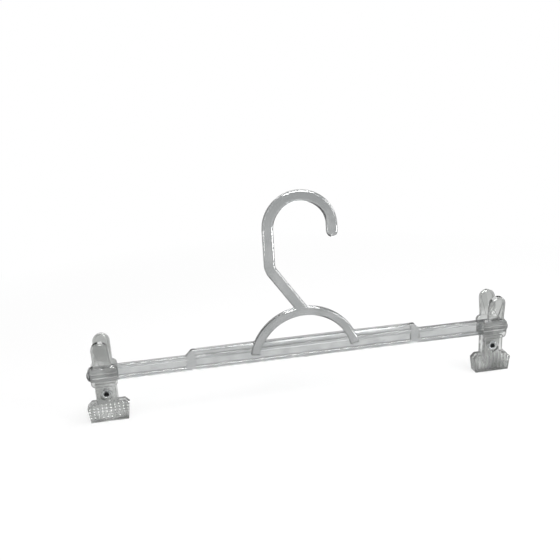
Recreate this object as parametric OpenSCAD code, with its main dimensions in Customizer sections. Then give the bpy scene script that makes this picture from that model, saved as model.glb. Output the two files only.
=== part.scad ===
// Clear moulded skirt hanger: a hook, a slanted shank, an arch and a ribbed bar in one
// moulding, and a spring clip that slides on each end of the bar.
// Millimetres. X runs along the bar, Y from front to back, Z up.
// The origin is the middle of the hook's round, where the rail lies.

/* [Hook] */
// Radius of the hook, along the middle of its rod
hook_r = 23.6; // [18:0.1:30]
// Width of the rod, seen from the front
rod_w = 8.3; // [5:0.1:9]
// Thickness of the rod, from front to back
rod_t = 6; // [5:0.1:8]
// Rounding along the four edges of the rod
rod_edge_r = 2.2; // [0.8:0.1:2.3]
// Straight drop of the tip below the hook's round
tip_drop = 4.7; // [0.5:0.1:10]
// Height of the hook's middle above the lower edge of the bar
hook_rise = 100; // [92:1:130]
// Height of the bend in the shank above the lower edge of the bar
bend_rise = 71; // [60:1:78]
// Radius of that bend, along the middle of the rod
bend_r = 10; // [6:0.5:16]

/* [Arch] */
// Height of the crown of the arch above the lower edge of the bar
arch_rise = 40; // [34:1:48]
// Span of the arch over its outside, at its feet
arch_span = 84; // [70:1:110]
// Width of the band, seen from the front
arch_w = 7; // [5:0.1:9]
// How much thicker the band is than the rod of the hook, from front to back
arch_extra_t = 0.3; // [0.2:0.05:0.9]
// Height of the feet above the lower edge of the bar
foot_rise = 6.5; // [4:0.5:8]

/* [Bar] */
// Length of the bar over its end stops
bar_len = 325; // [280:1:420]
// Height of the bar where the clips slide
bar_h = 11.5; // [10:0.1:14]
// Extra height of the deep middle stretch
mid_rise = 4.5; // [3.5:0.1:8]
// Length of the deep stretch along its top edge
mid_len = 172; // [130:1:180]
// Thickness of the bar over its ribs
bar_t = 4.7; // [4:0.1:5.5]
// Thickness of the web between the channels
web_t = 2.3; // [1.5:0.1:3]
// Height of the long ribs above and below the slide channel
rib_h = 3; // [2:0.1:3.2]
// Height of the rib along the top of the deep stretch
top_rib_h = 2; // [1.2:0.1:2.4]
// Length of each end stop
stop_len = 2.7; // [1.5:0.1:3.5]
// Thickness of each end stop
stop_t = 8; // [6:0.1:9]

/* [Clip] */
// Width of the shoulder that straddles the bar
shoulder_w = 19; // [17:0.5:24]
// Height of the shoulder
shoulder_h = 16; // [15:0.5:19]
// Thickness of the shoulder wall, measured from the same plane
shoulder_t = 3.7; // [3.1:0.1:4.5]
// Rounding of the shoulder's corners
shoulder_r = 3.5; // [1:0.1:5]
// Width of the tongue at its round top
tongue_w = 12.3; // [11:0.1:16]
// Width of the tongue where it meets the shoulder
tongue_foot_w = 13; // [12:0.1:17]
// Height of the tongue above the middle of the bar
tongue_rise = 28.3; // [24:0.1:36]
// Thickness of the tongue, measured from the plane of its ridge's axis
tongue_t = 2.6; // [2:0.1:3]
// Lean of the tongue away from the bar, in degrees
tongue_lean = 8; // [4:0.5:14]
// Width of the raised rim round the tongue
rim_w = 1.5; // [1:0.1:2]
// Height of that rim
rim_h = 0.9; // [0.4:0.1:1.4]
// Depth of the thumb hollow
hollow_depth = 0.8; // [0.3:0.1:1.1]
// Width of the neck below the bar
neck_w = 15; // [12.5:0.5:17]
// Thickness of the neck
neck_t = 3.8; // [3:0.1:5]
// Gap between the two necks of a clip
neck_gap = 3.2; // [2:0.1:4]

/* [Jaw pad] */
// Width of the pad
pad_w = 30.5; // [24:0.5:40]
// Height of the pad
pad_h = 14.5; // [11:0.5:20]
// Thickness of the pad, teeth included
pad_t = 4.2; // [3.2:0.1:5.5]
// Drop of the pad's lower edge below the middle of the bar
pad_drop = 37; // [35:0.1:44]
// Size of the chamfer on the pad's upper corners
pad_chamfer = 3.2; // [1:0.1:5]
// How far each side of the pad slopes in at its lower corner
pad_taper = 1.6; // [0.5:0.1:3]
// Depth of the teeth
tooth_depth = 1; // [0.4:0.1:1.3]
// Distance from tooth to tooth across the pad
tooth_pitch_x = 3; // [2.4:0.1:5]
// Distance from tooth to tooth up the pad
tooth_pitch_z = 2.5; // [2.2:0.1:4]

/* [Spring] */
// Thickness of the wire
wire_d = 0.75; // [0.5:0.05:0.8]
// Radius of the body of the spring, along the wire's middle
coil_r = 1.9; // [1.6:0.05:2.2]
// Radius of the wide end turns, along the wire's middle
end_coil_r = 3.5; // [3.3:0.05:3.8]
// Turns in the body of the spring
body_turns = 3; // [2:1:3]
// Turns in which each end widens
end_turns = 1.1; // [1:0.05:1.15]

/* [Fits] */
// Play between a jaw's ridge and the web of the bar
ridge_play = 0.15; // [0.1:0.01:0.3]
// Play between the ridge and the ribs beside its channel
ridge_side_play = 0.35; // [0.25:0.05:0.6]
// Gap that keeps a clip clear of the stops at both ends of its travel
stop_gap = 0.3; // [0.2:0.05:1]
// Gap between the lower edge of the bar and the necks below it
under_gap = 0.75; // [0.6:0.05:1.5]
// Gap between the teeth and the plane in which the closed jaws meet
tooth_gap = 0.15; // [0.1:0.01:0.5]
// Play between the spring and the well or hole round it
spring_play = 0.5; // [0.3:0.05:0.8]
// Play under the spring's end turns
seat_play = 0.15; // [0.1:0.01:0.3]

/* [Hidden] */
overrun = 1;

// Bar and its channels
channel_h = bar_h - 2 * rib_h;
channel_depth = (bar_t - web_t) / 2;
slope_end = mid_len / 2 + mid_rise;
end_channel_len = bar_len / 2 - stop_len - slope_end;
mid_channel_len = mid_len - 2 * rib_h;
stop_angle = acos(1 - 2 * stop_len / bar_h);
mark_r = 2.2;
mark_depth = 0.3;
mark_end_share = 0.8;
mark_mid_share = 0.37;
gate_w = 3.6;
gate_t = 2;
gate_h = 0.8;

// Arch: one round arc through both feet and the crown
arch_h = arch_rise - foot_rise;
arch_outer_r = (pow(arch_span / 2, 2) + pow(arch_h, 2)) / (2 * arch_h);
arch_mid_z = arch_rise - arch_outer_r;
arch_r = arch_outer_r - arch_w / 2;
foot_angle = atan2(foot_rise - arch_mid_z, arch_span / 2);
crown_z = arch_rise - arch_w / 2;

// Shank: upright below the hook, then a straight slant to the crown of the arch
slant_angle = atan2(hook_r, bend_rise - crown_z);
slant_len = sqrt(pow(hook_r, 2) + pow(bend_rise - crown_z, 2));
bend_cut = bend_r * tan(slant_angle / 2);
upright_len = hook_rise - bend_rise - bend_cut;

// Clip: the jaws rock about their ridges, at the middle of the bar's height
ridge_r = channel_h / 2 - ridge_side_play;
ridge_y = -(web_t / 2 + ridge_play + ridge_r);
ridge_z = bar_h / 2;
clip_x = bar_len / 2 - stop_len - stop_gap - shoulder_w / 2;
neck_drop = bar_h / 2 + under_gap;
neck_in_y = -neck_gap / 2;
wall_back_share = 1 / 6;
wall_back = ridge_r * wall_back_share;
ridge_inset_share = 0.25;
ridge_inset = ridge_r * ridge_inset_share;
groove_share = 0.8;
edge_steps = 6;
round_steps = 16;
neck_out_y = neck_in_y - neck_t;
tongue_r = tongue_w / 2;
hollow_narrow_share = 0.125;
hollow_foot_r = tongue_foot_w * hollow_narrow_share;
hollow_foot_share = 0.55;
hollow_foot_z = shoulder_h * hollow_foot_share;

// Spring seats: a well in each neck, and a hole through what is left of the wall
well_r = end_coil_r + wire_d / 2 + spring_play;
spring_hole_r = coil_r + wire_d / 2 + spring_play;
seat_share = 0.42;
seat_y = neck_in_y - neck_t * seat_share;
window_share = 0.55;
window_drop = neck_drop + window_share * (pad_drop - pad_h - neck_drop);
end_turn_y = -seat_y + seat_play + wire_d / 2;

$fn = 64;

// Points of an arc about a middle, from one angle to another
function arc(middle, radius, from, to, steps) =
    [for (i = [0:steps]) let (angle = from + (to - from) * i / steps)
        middle + radius * [cos(angle), sin(angle)]];

// Right half of a rod's section, from its back to its front, with rounded edges
function rod_half(width, thickness) =
    let (corner = [width / 2 - rod_edge_r, thickness / 2 - rod_edge_r])
    concat(arc([corner.x, -corner.y], rod_edge_r, -90, 0, edge_steps),
        arc(corner, rod_edge_r, 0, 90, edge_steps));

module rod_section(width, thickness) {
    half = rod_half(width, thickness);
    polygon(concat(half, [for (point = half) -point]));
}

// Rod bent round the Y axis through its middle, from one angle through a sweep
module rod_arc(radius, width, thickness, from, sweep) {
    rotate([90, -from, 0])
        rotate_extrude(angle = sweep)
            translate([radius, 0]) rod_section(width, thickness);
}

// Slab in the plane of the bar, between two depths
module slab(y_low, y_high) {
    translate([0, y_high, 0]) rotate([90, 0, 0])
        linear_extrude(y_high - y_low) children();
}

// Hook with its round tip, the upright, the bend and the slant down to the arch
module hook_and_shank() {
    rod_arc(hook_r, rod_w, rod_t, 0, 180);
    translate([hook_r, 0, -tip_drop]) {
        linear_extrude(tip_drop) rod_section(rod_w, rod_t);
        rotate([90, 180, 0]) rotate_extrude(angle = 180)
            polygon(concat([[0, -rod_t / 2]], rod_half(rod_w, rod_t), [[0, rod_t / 2]]));
    }
    translate([-hook_r, 0, -upright_len])
        linear_extrude(upright_len) rod_section(rod_w, rod_t);
    translate([bend_r - hook_r, 0, -upright_len])
        rod_arc(bend_r, rod_w, rod_t, 180, slant_angle);
    translate([0, 0, crown_z - hook_rise]) rotate([0, -slant_angle, 0])
        linear_extrude(slant_len - bend_cut) rod_section(rod_w, rod_t);
}

module arch() {
    translate([0, 0, arch_mid_z - hook_rise])
        rod_arc(arch_r, arch_w, rod_t + arch_extra_t, foot_angle, 180 - 2 * foot_angle);
}

// Outline of the bar between its end stops: rounded ends, and a deep middle with
// sloping shoulders
module bar_outline() {
    end_x = (bar_len - bar_h) / 2;
    half = concat(
        arc([end_x, bar_h / 2], bar_h / 2, -90, -stop_angle, edge_steps),
        arc([end_x, bar_h / 2], bar_h / 2, stop_angle, 90, edge_steps),
        [[slope_end, bar_h], [mid_len / 2, bar_h + mid_rise]]);
    polygon(concat(half, [for (i = [len(half) - 1:-1:0]) [-half[i].x, half[i].y]]));
}

// Channels that leave the long ribs: one at each end for a clip, two along the middle
module channel_outlines() {
    for (side = [-1, 1])
        translate([side * (slope_end + end_channel_len / 2), bar_h / 2])
            square([end_channel_len, channel_h], center = true);
    translate([-mid_channel_len / 2, rib_h]) square([mid_channel_len, channel_h]);
    translate([-mid_channel_len / 2, bar_h]) square([mid_channel_len, mid_rise - top_rib_h]);
}

// Thick round end that stops a clip from leaving the bar
module end_stop() {
    slab(-stop_t / 2, stop_t / 2)
        polygon(arc([(bar_len - bar_h) / 2, bar_h / 2], bar_h / 2, -stop_angle, stop_angle,
            round_steps));
}

// Shallow round marks that the mould's pins leave in the web
module pin_marks() {
    for (side = [-1, 1], share = [mark_end_share, mark_mid_share])
        translate([side * share * bar_len / 2, -web_t / 2 + mark_depth, bar_h / 2])
            rotate([90, 0, 0]) cylinder(r = mark_r, h = mark_depth + channel_depth);
}

module bar() {
    difference() {
        slab(-bar_t / 2, bar_t / 2) bar_outline();
        slab(-bar_t / 2 - overrun, -web_t / 2) channel_outlines();
        slab(web_t / 2, bar_t / 2 + overrun) channel_outlines();
        pin_marks();
    }
    for (side = [0, 1]) mirror([side, 0, 0]) end_stop();
    translate([-gate_w / 2, -gate_t / 2, -gate_h]) cube([gate_w, gate_t, gate_h + rib_h / 2]);
}

module hanger_body() {
    color("gainsboro") union() {
        hook_and_shank();
        arch();
        translate([0, 0, -hook_rise]) bar();
    }
}

// One half of the shoulder's outline, from the ridge's axis up
module shoulder_half() {
    corner = [shoulder_w / 2 - shoulder_r, shoulder_h / 2 - shoulder_r];
    polygon(concat([[shoulder_w / 2, 0]], arc(corner, shoulder_r, 0, 90, edge_steps),
        arc([-corner.x, corner.y], shoulder_r, 90, 180, edge_steps), [[-shoulder_w / 2, 0]]));
}

// Outline of the tongue, drawn in all round by a margin
module tongue_outline(margin) {
    foot = tongue_foot_w / 2 - margin;
    polygon(concat([[foot, 0]],
        arc([0, tongue_rise - tongue_r], tongue_r - margin, 0, 180, round_steps), [[-foot, 0]]));
}

// Spoon-shaped thumb hollow: wide and round above, narrow below
module hollow_outline() {
    polygon(concat(
        arc([0, tongue_rise - tongue_r], tongue_r - rim_w, 0, 180, round_steps),
        arc([0, hollow_foot_z], hollow_foot_r, 180, 360, round_steps)));
}

// Tongue with its rim and hollow, and the upper half of the shoulder
module jaw_top() {
    difference() {
        union() {
            slab(-tongue_t, -wall_back) tongue_outline(0);
            difference() {
                slab(-tongue_t - rim_h, -tongue_t) tongue_outline(0);
                slab(-tongue_t - rim_h - overrun, -tongue_t) tongue_outline(rim_w);
            }
            slab(-shoulder_t, -wall_back) shoulder_half();
        }
        slab(-shoulder_t - overrun, -tongue_t + hollow_depth) hollow_outline();
    }
}

// Pad with chamfered upper corners, down from its top edge
module pad_outline() {
    half = pad_w / 2;
    polygon([
        [-half + pad_chamfer, 0], [half - pad_chamfer, 0], [half, -pad_chamfer],
        [half - pad_taper, -pad_h], [-half + pad_taper, -pad_h],
        [-half, -pad_chamfer]
    ]);
}

// V grooves across and down the pad's inner face leave rows of pointed teeth
module tooth_grooves() {
    columns = round(pad_w / tooth_pitch_x);
    rows = round(pad_h / tooth_pitch_z);
    for (column = [1:columns - 1])
        translate([(column / columns - 1 / 2) * pad_w, 0, -pad_h - overrun])
            linear_extrude(pad_h + 2 * overrun) rotate(-90) groove(pad_w / columns);
    for (row = [1:rows - 1])
        translate([0, 0, -row / rows * pad_h]) rotate([90, 0, 90])
            linear_extrude(pad_w + 2 * overrun, center = true) groove(pad_h / rows);
}

// V cut to the tooth depth at -X, which leaves a flat on each tooth
module groove(pitch) {
    half = pitch * groove_share / 2;
    polygon([[overrun, -half], [0, -half], [-tooth_depth, 0], [0, half], [overrun, half]]);
}

// Front half of a clip, in the frame of its bar, with the clip's middle at x = 0
module front_jaw() {
    difference() {
        union() {
            translate([0, ridge_y, ridge_z]) {
                rotate([tongue_lean, 0, 0]) jaw_top();
                slab(-shoulder_t, -wall_back) mirror([0, 1]) shoulder_half();
                rotate([0, 90, 0])
                    cylinder(r = ridge_r, h = shoulder_w - 2 * ridge_inset, center = true);
            }
            translate([0, 0, ridge_z]) {
                slab(neck_out_y, neck_in_y) translate([-neck_w / 2, -pad_drop + pad_h / 2])
                    square([neck_w, pad_drop - pad_h / 2 - neck_drop]);
                translate([0, 0, pad_h - pad_drop])
                    slab(-tooth_gap - pad_t, -tooth_gap) pad_outline();
            }
        }
        translate([0, -tooth_gap, ridge_z + pad_h - pad_drop]) tooth_grooves();
        translate([0, 0, ridge_z - window_drop]) rotate([90, 0, 0]) {
            cylinder(r = spring_hole_r, h = -neck_out_y + overrun);
            translate([0, 0, -seat_y]) cylinder(r = well_r, h = -neck_out_y + overrun);
        }
    }
}

module clip_half(side, face) {
    color("whitesmoke") translate([side * clip_x, 0, -hook_rise])
        mirror([0, face, 0]) front_jaw();
}

// Wire of the clip spring, by turns from the middle of its body: an even helix along Y,
// then a flat widening turn at each end, which rests in the well of a neck
function coil_radius(turn) =
    coil_r + (end_coil_r - coil_r) * max(0, abs(turn) - body_turns / 2) / end_turns;
function coil_y(turn) =
    end_turn_y * max(-1, min(1, turn / (body_turns / 2)));
function coil_point(turn) =
    [coil_radius(turn) * cos(360 * turn), coil_y(turn), coil_radius(turn) * sin(360 * turn)];

coil_rings = 8;
coil_sides = 6;
coil_end = body_turns / 2 + end_turns;
coil_steps = round(2 * coil_end * coil_rings);
coil_turns = [for (i = [0:coil_steps]) -coil_end + 2 * coil_end * i / coil_steps];
coil_path = [for (turn = coil_turns) coil_point(turn)];
function unit(v) = v / norm(v);
coil_lead_in = coil_path[0] - wire_d * unit(coil_path[1] - coil_path[0]);
coil_lead_out = coil_path[coil_steps]
    + wire_d * unit(coil_path[coil_steps] - coil_path[coil_steps - 1]);
wire_path = concat([coil_lead_in], coil_path, [coil_lead_out]);
wire_last = len(wire_path) - 1;
function wire_direction(i) = unit(wire_path[min(i + 1, wire_last)] - wire_path[max(i - 1, 0)]);
function wire_ring(i) =
    let (along = wire_direction(i), out = unit(cross([0, 1, 0], along)), up = cross(along, out))
    [for (k = [0:coil_sides - 1])
        wire_path[i] + wire_d / 2 * (cos(360 * k / coil_sides) * out + sin(360 * k / coil_sides) * up)];

module clip_spring(side) {
    points = [for (i = [0:wire_last]) each wire_ring(i)];
    walls = [for (i = [0:wire_last - 1], k = [0:coil_sides - 1])
        let (a = i * coil_sides + k, b = i * coil_sides + (k + 1) % coil_sides)
        each [[a, b, b + coil_sides], [a, b + coil_sides, a + coil_sides]]];
    caps = [for (k = [1:coil_sides - 2]) each [
        [0, k + 1, k],
        [wire_last * coil_sides, wire_last * coil_sides + k, wire_last * coil_sides + k + 1]]];
    color("silver") translate([side * clip_x, 0, ridge_z - window_drop - hook_rise])
        polyhedron(points, concat(walls, caps));
}

// Least gap between turns of the wire, measured between points over half a turn apart
coil_gap = min([for (i = [0:wire_last], j = [i + coil_rings / 2 + 1:1:wire_last])
    norm(wire_path[i] - wire_path[j])]) - wire_d;
echo(least_gap_in_spring = coil_gap);

hanger_body();
clip_half(-1, 0);  // left_front_jaw
clip_half(-1, 1);  // left_back_jaw
clip_spring(-1);  // left_clip_spring
clip_half(1, 0);  // right_front_jaw
clip_half(1, 1);  // right_back_jaw
clip_spring(1);  // right_clip_spring
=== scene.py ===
"""Clear moulded skirt hanger with two sliding spring clips, dressed for pictures."""

from math import cos, pi, radians, sin

import bmesh
import bpy
from mathutils import Matrix, Vector


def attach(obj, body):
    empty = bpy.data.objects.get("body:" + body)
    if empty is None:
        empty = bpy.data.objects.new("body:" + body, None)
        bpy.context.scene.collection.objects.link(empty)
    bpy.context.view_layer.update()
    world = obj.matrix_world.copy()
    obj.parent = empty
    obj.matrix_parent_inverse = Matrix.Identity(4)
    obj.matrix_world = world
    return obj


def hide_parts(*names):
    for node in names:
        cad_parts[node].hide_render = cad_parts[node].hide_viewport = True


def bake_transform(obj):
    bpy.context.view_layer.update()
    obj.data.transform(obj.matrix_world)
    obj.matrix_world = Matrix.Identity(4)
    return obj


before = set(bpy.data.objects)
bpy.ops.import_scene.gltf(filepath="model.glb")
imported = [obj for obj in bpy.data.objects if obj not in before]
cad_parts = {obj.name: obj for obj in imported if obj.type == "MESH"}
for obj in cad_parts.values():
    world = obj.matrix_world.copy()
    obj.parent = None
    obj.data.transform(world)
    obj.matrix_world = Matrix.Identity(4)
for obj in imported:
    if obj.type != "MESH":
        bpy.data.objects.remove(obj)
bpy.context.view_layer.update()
mm = 0.001

# The hanger body. The real one is a single injection moulding in clear polystyrene: hook,
# slanted shank, arch and ribbed bar. The mould rounds its edges, and the pins that push it
# out leave marks with sharp rims in the web.

body_edge_r = 0.7 * mm
pin_mark_y = 1.2 * mm
edge_steps = 3
sharp_turn = radians(35)
flat_turn = radians(0.3)
short_edge = 0.02 * mm
touching = 0.001 * mm


def in_scene(name, data):
    """A new object in the scene with this mesh, curve, lamp or camera."""
    piece = bpy.data.objects.new(name, data)
    bpy.context.scene.collection.objects.link(piece)
    return piece


def finished(name, shape):
    """The shape as an object, shaded smooth but for the edges that turn sharply."""
    shape.normal_update()
    for face in shape.faces:
        face.smooth = True
    for edge in shape.edges:
        edge.smooth = edge.calc_face_angle(0) < sharp_turn
    mesh = bpy.data.meshes.new(name)
    shape.to_mesh(mesh)
    shape.free()
    return in_scene(name, mesh)


def moulded(node, edge_r, sharp_y, body):
    """The node's own shape as one skin. Its outer edges are rounded as the mould leaves them,
    and those nearer than sharp_y to the middle plane stay sharp."""
    shape = bmesh.new()
    shape.from_mesh(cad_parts[node].data)
    bmesh.ops.remove_doubles(shape, verts=shape.verts, dist=short_edge)
    bmesh.ops.dissolve_degenerate(shape, edges=shape.edges, dist=short_edge)
    bmesh.ops.dissolve_limit(shape, angle_limit=flat_turn, verts=shape.verts,
                             edges=shape.edges)
    shape.normal_update()
    outer = [edge for edge in shape.edges if edge.calc_face_angle_signed(0) > sharp_turn
             and any(abs(corner.co.y) > sharp_y for corner in edge.verts)]
    bmesh.ops.bevel(shape, geom=outer, offset=edge_r, offset_type="OFFSET",
                    segments=edge_steps, profile=0.5, affect="EDGES", clamp_overlap=False)
    bmesh.ops.remove_doubles(shape, verts=shape.verts, dist=touching)
    bmesh.ops.dissolve_degenerate(shape, edges=shape.edges, dist=touching)
    piece = finished(node + "_moulding", shape)
    shading = piece.modifiers.new("flat faces stay flat", "WEIGHTED_NORMAL")
    shading.weight = 80
    shading.keep_sharp = True
    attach(piece, body)
    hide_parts(node)
    return piece


def linear(hex_colour):
    """An sRGB hex colour as linear light."""
    parts = [int(hex_colour[i : i + 2], 16) / 255 for i in (1, 3, 5)]
    light = [c / 12.92 if c <= 0.04045 else ((c + 0.055) / 1.055) ** 2.4 for c in parts]
    return (*light, 1)


def add(tree, kind, settings=None, into=(), **links):
    """Adds a shader node. Settings are attributes or socket values. The sockets in into feed
    the node's inputs in their order, and those in links the inputs that they name."""
    node = tree.nodes.new(kind)
    for name, value in (settings or {}).items():
        if hasattr(node, name):
            setattr(node, name, value)
        else:
            node.inputs[name].default_value = value
    for number, socket in enumerate(into):
        tree.links.new(socket, node.inputs[number])
    for name, socket in links.items():
        tree.links.new(socket, node.inputs[name.replace("_", " ")])
    return node


def new_material(name):
    """An empty material and its node tree."""
    material = bpy.data.materials.new(name)
    material.use_nodes = True
    material.node_tree.nodes.clear()
    return material, material.node_tree


def clear_polystyrene(name, deep, pale, smoke, haze, texture, deeper_from, deeper_to):
    """Clear polystyrene, injection moulded and a little smoky. The eye sees a grey body that
    lets the ground through and darkens with its depth, sharp pale glints along the edges, slow
    waves where the melt flowed and a fine haze of rubbing. The smoke is given per metre of
    depth, and the colour turns from pale to deep between two heights."""
    material, tree = new_material(name)
    place = add(tree, "ShaderNodeTexCoord")
    # Faint clouds about 12 mm wide in the clearness.
    cloud = add(tree, "ShaderNodeTexNoise", {"Scale": 1 / (12 * mm), "Detail": 2.0},
                Vector=place.outputs["Object"])
    spread = add(tree, "ShaderNodeMapRange", {"From Min": 0.35, "From Max": 0.65},
                 Value=cloud.outputs["Fac"])
    # The colour turns deep above a given height, which greys the clips' tongues and the hook's
    # crown.
    height = add(tree, "ShaderNodeSeparateXYZ", Vector=place.outputs["Object"])
    below_band = add(tree, "ShaderNodeMapRange",
                {"From Min": deeper_from, "From Max": deeper_to, "To Min": 1.0, "To Max": 0.0},
                Value=height.outputs["Z"])
    pale_share = add(tree, "ShaderNodeMath", {"operation": "MULTIPLY"},
                into=(spread.outputs["Result"], below_band.outputs["Result"]))
    tint = add(tree, "ShaderNodeMix",
               {"data_type": "RGBA", "A": linear(deep), "B": linear(pale)},
               Factor=pale_share.outputs[0])
    # Rubbing: hair marks under 0.2 mm, drawn at 0.7 mm so that they show.
    rub = add(tree, "ShaderNodeTexNoise", {"Scale": 1 / (0.7 * mm), "Detail": 3.0},
              Vector=place.outputs["Object"])
    gloss = add(tree, "ShaderNodeMapRange",
                {"From Min": 0.5, "From Max": 0.8, "To Min": haze, "To Max": haze + 0.12},
                Value=rub.outputs["Fac"])
    # Melt flow: slow waves about 7 mm across, drawn out along the bar as the melt ran.
    course = add(tree, "ShaderNodeMapping", {"Scale": (0.2, 1, 1)},
                 Vector=place.outputs["Object"])
    flow = add(tree, "ShaderNodeTexNoise", {"Scale": 1 / (7 * mm), "Detail": 1.0},
               Vector=course.outputs["Vector"])
    waves = add(tree, "ShaderNodeBump", {"Strength": 0.3, "Distance": 0.16 * mm},
                Height=flow.outputs["Fac"])
    # The spark-cut mould's grain: 0.1 mm dimples, drawn 1 mm wide so that they show.
    spark = add(tree, "ShaderNodeTexNoise", {"Scale": 1 / (1 * mm), "Detail": 2.0},
                Vector=place.outputs["Object"])
    dimples = add(tree, "ShaderNodeBump", {"Strength": 0.3, "Distance": texture},
                  Height=spark.outputs["Fac"], Normal=waves.outputs["Normal"])
    plastic = add(tree, "ShaderNodeBsdfPrincipled",
                  {"IOR": 1.59, "Transmission Weight": 0.94},
                  Base_Color=tint.outputs["Result"], Roughness=gloss.outputs["Result"],
                  Normal=dimples.outputs["Normal"])
    depth = add(tree, "ShaderNodeVolumeAbsorption",
                {"Color": linear("#828484"), "Density": smoke})
    add(tree, "ShaderNodeOutputMaterial", Surface=plastic.outputs["BSDF"],
        Volume=depth.outputs["Volume"])
    return material


body_plastic = clear_polystyrene(
    "clear_moulded_polystyrene", deep="#BEC1C1", pale="#D0D2D2", smoke=125, haze=0.02,
    texture=0.005 * mm, deeper_from=10 * mm, deeper_to=24 * mm)
hanger = moulded("hanger_body", body_edge_r, pin_mark_y, "hanger")
hanger.data.materials.append(body_plastic)

# The four clip halves. Each is one clear polystyrene moulding: a leaning tongue with a thumb
# hollow, a shoulder that rocks in the bar's channel, a neck with a well for the spring and a
# pad, whose teeth, near the middle plane, keep their sharp edges.

jaw_edge_r = 0.25 * mm
tooth_zone_y = 1.8 * mm
jaw_plastic = clear_polystyrene(
    "clear_moulded_polystyrene_clips", deep="#B4B6B4", pale="#EEEFEE", smoke=40, haze=0.02,
    texture=0.07 * mm, deeper_from=-88 * mm, deeper_to=-78 * mm)
for side in ("left", "right"):
    for face in ("front", "back"):
        jaw = moulded(f"{side}_{face}_jaw", jaw_edge_r, tooth_zone_y, f"{side}_{face}_half")
        jaw.data.materials.append(jaw_plastic)

# The clip springs. Each is one bright steel wire, wound cold: a few close turns through both
# necks, with a wide flat turn at each end that sits in the wells and pulls the jaws shut.

wire_d = 0.75 * mm
wire_roundness = 4
coil_r = 1.9 * mm
end_coil_r = 3.5 * mm
body_turns = 9.8
end_turns = 1.1
end_turn_y = 3.721 * mm
points_each = 200
spring_x = 150 * mm
spring_z = -109.55 * mm


def spring_steel():
    """Drawn spring steel: bright and cool, with fine lines drawn along the wire."""
    material, tree = new_material("drawn_spring_steel")
    place = add(tree, "ShaderNodeTexCoord")
    # Drawing lines and the dull film of oil, in patches about 0.6 mm wide.
    film = add(tree, "ShaderNodeTexNoise", {"Scale": 1 / (0.6 * mm), "Detail": 3.0},
               Vector=place.outputs["Object"])
    # Painted shade blackens the inside of the coil, where little light gets in.
    mirrored = add(tree, "ShaderNodeVectorMath", {"operation": "ABSOLUTE"},
                   into=(place.outputs["Object"],))
    across = add(tree, "ShaderNodeVectorMath", {"operation": "SUBTRACT"},
                 into=(mirrored.outputs[0],))
    across.inputs[1].default_value = (spring_x, 0, -spring_z)
    flat = add(tree, "ShaderNodeVectorMath", {"operation": "MULTIPLY"},
               into=(across.outputs[0],))
    flat.inputs[1].default_value = (1, 0, 1)
    from_axis = add(tree, "ShaderNodeVectorMath", {"operation": "LENGTH"},
                    into=(flat.outputs[0],))
    outside_painted_shade = add(tree, "ShaderNodeMapRange",
                  {"From Min": coil_r - 0.2 * mm, "From Max": coil_r + 0.4 * mm},
                  Value=from_axis.outputs["Value"])
    # Inside the coil the steel takes the dark colour: this is painted shade.
    bright = add(tree, "ShaderNodeMath", {"operation": "MULTIPLY"},
                 into=(film.outputs["Fac"], outside_painted_shade.outputs["Result"]))
    tone = add(tree, "ShaderNodeMix",
               {"data_type": "RGBA", "A": linear("#1B1E1F"), "B": linear("#F2F5F6")},
               Factor=bright.outputs[0])
    shine = add(tree, "ShaderNodeMapRange", {"To Min": 0.12, "To Max": 0.34},
                Value=film.outputs["Fac"])
    lines = add(tree, "ShaderNodeBump", {"Strength": 0.2, "Distance": 0.02 * mm},
                Height=film.outputs["Fac"])
    metal = add(tree, "ShaderNodeBsdfPrincipled", {"Metallic": 1.0},
                Base_Color=tone.outputs["Result"], Roughness=shine.outputs["Result"],
                Normal=lines.outputs["Normal"])
    add(tree, "ShaderNodeOutputMaterial", Surface=metal.outputs["BSDF"])
    return material


def half_coil(name, side_x, way):
    """One half of a spring, from the middle of its body to a wide end turn."""
    line = bpy.data.curves.new(name, "CURVE")
    line.dimensions = "3D"
    line.bevel_depth = wire_d / 2
    line.bevel_resolution = wire_roundness
    line.use_fill_caps = True
    straight_turns = body_turns / 2
    run = line.splines.new("POLY")
    run.points.add(points_each)
    for i, point in enumerate(run.points):
        turn = (straight_turns + end_turns) * i / points_each
        widening = max(0, turn - straight_turns) / end_turns
        radius = coil_r + (end_coil_r - coil_r) * widening
        along = min(1, turn / straight_turns) * end_turn_y
        angle = 2 * pi * turn * way
        point.co = (side_x + radius * cos(angle), way * along,
                    spring_z + radius * sin(angle), 1)
    source = in_scene(name + "_line", line)
    bpy.context.view_layer.update()
    skin = bpy.data.meshes.new_from_object(source)
    bpy.data.objects.remove(source)
    # The flat cut ends are joined to the wire with a sharp rim.
    shape = bmesh.new()
    shape.from_mesh(skin)
    bmesh.ops.remove_doubles(shape, verts=shape.verts, dist=touching)
    return finished(name, shape)


steel = spring_steel()
for side, side_x in (("left", -spring_x), ("right", spring_x)):
    for half, way in (("front", -1), ("back", 1)):
        wire = half_coil(f"{side}_{half}_spring_coil", side_x, way)
        wire.data.materials.append(steel)
        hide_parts(f"{side}_clip_spring")
        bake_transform(wire)

# The studio: a plain pale floor under the pads and three soft lamps. Bright cards draw the
# pale glints of clear plastic and black flags its dark edges.

aim = Vector((-16.5, 0, -37.75)) * mm
floor_z = -131.4 * mm
floor_half_w = 6


def flat_sheet(name, half_w, placing):
    """A flat square, placed by a matrix."""
    mesh = bpy.data.meshes.new(name)
    sheet = bmesh.new()
    bmesh.ops.create_grid(sheet, x_segments=1, y_segments=1, size=half_w, matrix=placing)
    sheet.to_mesh(mesh)
    sheet.free()
    return in_scene(name, mesh)


floor = flat_sheet("floor", floor_half_w, Matrix.Translation((0, 0, floor_z)))


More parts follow.
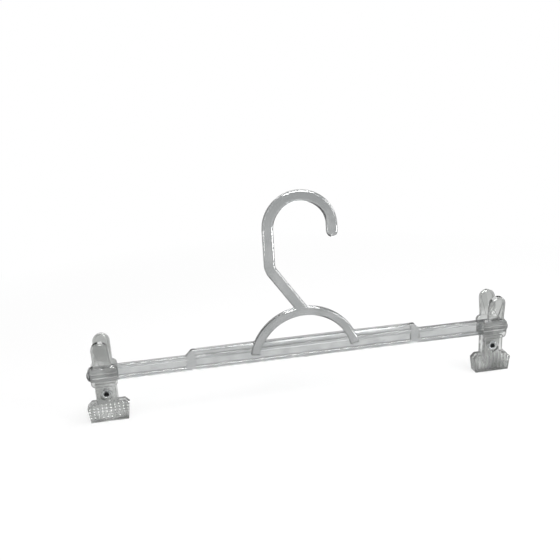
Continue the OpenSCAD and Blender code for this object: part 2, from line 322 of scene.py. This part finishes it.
def seen_directly(tree):
    """1 for rays from the camera, a gloss or a clear material, and 0 for rays that light."""
    ray = add(tree, "ShaderNodeLightPath")
    near = add(tree, "ShaderNodeMath", {"operation": "MAXIMUM"},
               into=(ray.outputs["Is Camera Ray"], ray.outputs["Is Glossy Ray"]))
    either = add(tree, "ShaderNodeMath", {"operation": "MAXIMUM"},
                 into=(near.outputs[0], ray.outputs["Is Transmission Ray"]))
    return either.outputs[0]


floor_paint, tree = new_material("pale_studio_floor")
paint = add(tree, "ShaderNodeBsdfDiffuse", {"Color": linear("#F8F8F8")})
glow = add(tree, "ShaderNodeEmission", {"Color": linear("#FFFFFF")})
place = add(tree, "ShaderNodeTexCoord")
away = add(tree, "ShaderNodeVectorMath", {"operation": "LENGTH"},
           into=(place.outputs["Object"],))
# The shadow is kept near the hanger, and the floor runs out to plain white round it.
fade = add(tree, "ShaderNodeMapRange", {"From Min": 0.2, "From Max": 0.55, "To Min": 0.6},
           Value=away.outputs["Value"])
share = add(tree, "ShaderNodeMath", {"operation": "MULTIPLY"},
            into=(seen_directly(tree), fade.outputs["Result"]))
mixed = add(tree, "ShaderNodeMixShader",
            into=(share.outputs[0], paint.outputs[0], glow.outputs[0]))
add(tree, "ShaderNodeOutputMaterial", Surface=mixed.outputs[0])
floor.data.materials.append(floor_paint)

world = bpy.data.worlds.new("studio")
bpy.context.scene.world = world
world.use_nodes = True
tree = world.node_tree
tree.nodes.clear()
room = add(tree, "ShaderNodeBackground", {"Color": linear("#FFFFFF"), "Strength": 0.7})
ground_white = add(tree, "ShaderNodeBackground", {"Color": linear("#FFFFFF"), "Strength": 1.0})
mixed = add(tree, "ShaderNodeMixShader",
            into=(seen_directly(tree), room.outputs[0], ground_white.outputs[0]))
add(tree, "ShaderNodeOutputWorld", Surface=mixed.outputs[0])


def soft_lamp(name, place, size, power):
    """A wide lamp that faces the point where the camera looks."""
    lamp = bpy.data.lights.new(name, "AREA")
    lamp.shape = "RECTANGLE"
    lamp.size, lamp.size_y = size
    lamp.energy = power
    stand = in_scene(name, lamp)
    stand.location = place
    stand.rotation_mode = "QUATERNION"
    stand.rotation_quaternion = (aim - Vector(place)).to_track_quat("-Z", "Y")


soft_lamp("top_softbox", (0.1, -0.15, 0.6), (0.7, 0.25), 2.6)
soft_lamp("left_softbox", (-0.5, -0.35, 0.1), (0.1, 0.6), 0.5)
soft_lamp("right_softbox", (0.5, -0.4, 0.15), (0.1, 0.6), 1.4)


def studio_card(name, place, size, facing, paint, seen_through=True):
    """A card that shows in glosses, and through clear walls if seen_through. The camera and
    the floor don't see it."""
    turn = Vector(facing).to_track_quat("Z", "Y").to_matrix().to_4x4()
    card = flat_sheet(name, 0.5,
                      Matrix.Translation(place) @ turn @ Matrix.Diagonal((*size, 1, 1)))
    card.visible_camera = False
    card.visible_shadow = False
    card.visible_diffuse = False
    card.visible_transmission = seen_through
    card.data.materials.append(paint)


def plain_paint(name, kind, settings):
    """A material for a card, with one shader."""
    paint, tree = new_material(name)
    coat = add(tree, kind, settings)
    add(tree, "ShaderNodeOutputMaterial", Surface=coat.outputs[0])
    return paint


flock = plain_paint("black_flock_card", "ShaderNodeBsdfDiffuse", {"Color": linear("#1C1C1E")})
strong = plain_paint("bright_reflector_card", "ShaderNodeEmission", {"Strength": 24.0})
bright = plain_paint("silver_reflector_card", "ShaderNodeEmission", {"Strength": 6.0})
gentle = plain_paint("soft_reflector_card", "ShaderNodeEmission", {"Strength": 12.0})
faint = plain_paint("white_paper_card", "ShaderNodeEmission", {"Strength": 1.8})
studio_card("front_reflector", (0, -0.3, -0.126), (0.9, 0.5), (0, 0, 1), faint,
            seen_through=False)
studio_card("back_reflector", (0, 0.45, 0.4), (1.2, 0.3), (0, -1, -0.8), bright)
studio_card("side_reflector", (0.6, -0.1, 0.2), (0.3, 0.3), (-1, 0, -0.2), gentle,
            seen_through=False)
studio_card("left_flag", (-0.42, 0.34, 0.17), (0.5, 0.44), (1, -0.8, 0), flock)
studio_card("right_flag", (0.42, 0.34, 0.17), (0.5, 0.44), (-1, -0.8, 0), flock)
studio_card("top_reflector", (0.1, -0.2, 0.5), (0.6, 0.3), (0, 0.2, -1), strong)
studio_card("right_reflector", (0.42, -0.22, -0.125), (0.25, 0.3), (0, 0, 1), strong,
            seen_through=False)
studio_card("left_reflector", (-0.5, -0.22, -0.125), (0.2, 0.3), (0, 0, 1), gentle,
            seen_through=False)

# The camera. It stands where the photographer stood, a little left and above, and leans as
# the photograph does. The film's width and the focal length are in millimetres.

film_w = 36
focal_l = 45
camera_azimuth, camera_elevation, camera_roll = radians(-8.84), radians(17.57), radians(-3.4)
camera_reach = 512.6 * mm
lens = bpy.data.cameras.new("camera")
lens.sensor_width = film_w
lens.lens = focal_l
lens.clip_start = 10 * mm
camera = in_scene("camera", lens)
back = Vector((sin(camera_azimuth) * cos(camera_elevation),
               -cos(camera_azimuth) * cos(camera_elevation), sin(camera_elevation)))
level = Vector((cos(camera_azimuth), sin(camera_azimuth), 0))
upright = back.cross(level)
right = cos(camera_roll) * level + sin(camera_roll) * upright
up = -sin(camera_roll) * level + cos(camera_roll) * upright
camera.matrix_world = Matrix.Translation(aim + back * camera_reach) @ Matrix(
    (right, up, back)).transposed().to_4x4()
bpy.context.scene.camera = camera
bpy.context.scene.view_settings.view_transform = "Standard"
